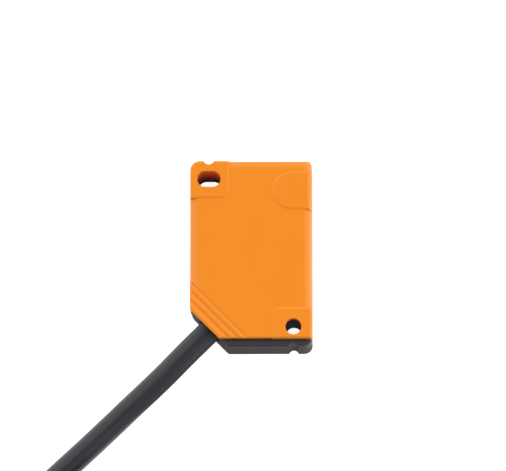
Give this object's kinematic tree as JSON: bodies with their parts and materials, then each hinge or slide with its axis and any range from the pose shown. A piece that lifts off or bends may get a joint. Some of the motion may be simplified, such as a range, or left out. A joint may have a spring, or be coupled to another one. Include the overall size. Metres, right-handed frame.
{
  "type": "photoelectric sensor",
  "caption": "Flat rectangular photoelectric proximity sensor with a cut corner, slot and round screw holes, side-looking optics, sensitivity screw and a coiled cable with bare wires.",
  "frame": {"origin": "under the middle of the housing, on the surface that its back lies on", "axes": "+Z is the normal of the coloured front cover, +Y points to the end with the slotted screw hole, +X is the narrow side with the optical window; the cable leaves through the cut corner at -X -Y"},
  "size_m": [0.0845, 0.1443, 0.0222],
  "materials": {
    "orange_plastic": "moulded PBT, fine satin grain",
    "black_plastic": "moulded glass-filled plastic, satin",
    "seal_rubber": "matt",
    "smoked_window": "polished smoked red acrylic",
    "carrier_plastic": "matt black",
    "clear_plastic": "polished clear plastic",
    "led_epoxy": "clear cast epoxy",
    "circuit_board": "green solder mask",
    "chip_package": "moulded epoxy, matt",
    "ceramic": "fired ceramic with tinned ends",
    "tantalum": "moulded epoxy",
    "tinned_metal": "tin plated",
    "brass": "turned",
    "cable_jacket": "satin polyurethane jacket",
    "tie_plastic": "satin nylon",
    "core_brown": "PVC insulation",
    "core_black": "PVC insulation",
    "core_blue": "PVC insulation"
  },
  "bodies": {
    "sensor": {"front_housing": "orange_plastic", "rear_base": "black_plastic", "housing_seal": "seal_rubber", "cable_grommet": "seal_rubber", "adjuster_seal": "seal_rubber", "optics_window": "smoked_window", "lens_carrier": "carrier_plastic", "trimmer_body": "carrier_plastic", "emitter_lens": "clear_plastic", "receiver_lens": "clear_plastic", "indicator_light_pipe": "clear_plastic", "emitter_led": "led_epoxy", "indicator_led": "led_epoxy", "optics_board": "circuit_board", "main_circuit_board": "circuit_board", "receiver_photodiode": "chip_package", "signal_chip": "chip_package", "output_transistor": "chip_package", "voltage_regulator": "chip_package", "protection_diode_1": "chip_package", "protection_diode_2": "chip_package", "chip_resistor_1": "chip_package", "chip_resistor_2": "chip_package", "chip_resistor_3": "chip_package", "chip_resistor_4": "chip_package", "ceramic_capacitor_1": "ceramic", "ceramic_capacitor_2": "ceramic", "ceramic_capacitor_3": "ceramic", "filter_capacitor": "tantalum", "preamp_shield_can": "tinned_metal", "cable_clamp": "tinned_metal", "core_tip_brown": "tinned_metal", "core_tip_black": "tinned_metal", "core_tip_blue": "tinned_metal", "board_link_pin_1": "brass", "board_link_pin_2": "brass", "board_link_pin_3": "brass", "cable_jacket_end": "cable_jacket", "cable_lead": "cable_jacket", "cable_coil": "cable_jacket", "coil_tie": "tie_plastic", "inner_core_brown": "core_brown", "free_core_brown": "core_brown", "inner_core_black": "core_black", "free_core_black": "core_black", "inner_core_blue": "core_blue", "free_core_blue": "core_blue"},
    "adjuster": {"adjuster_screw": "brass"}
  },
  "joints": [
    {"name": "sensitivity_adjust", "type": "hinge", "parent": "sensor", "child": "adjuster", "pos_m": [-0.0114, 0.005, 0.0068], "axis": [-1, 0, 0], "range_deg": [-135, 135]}
  ]
}
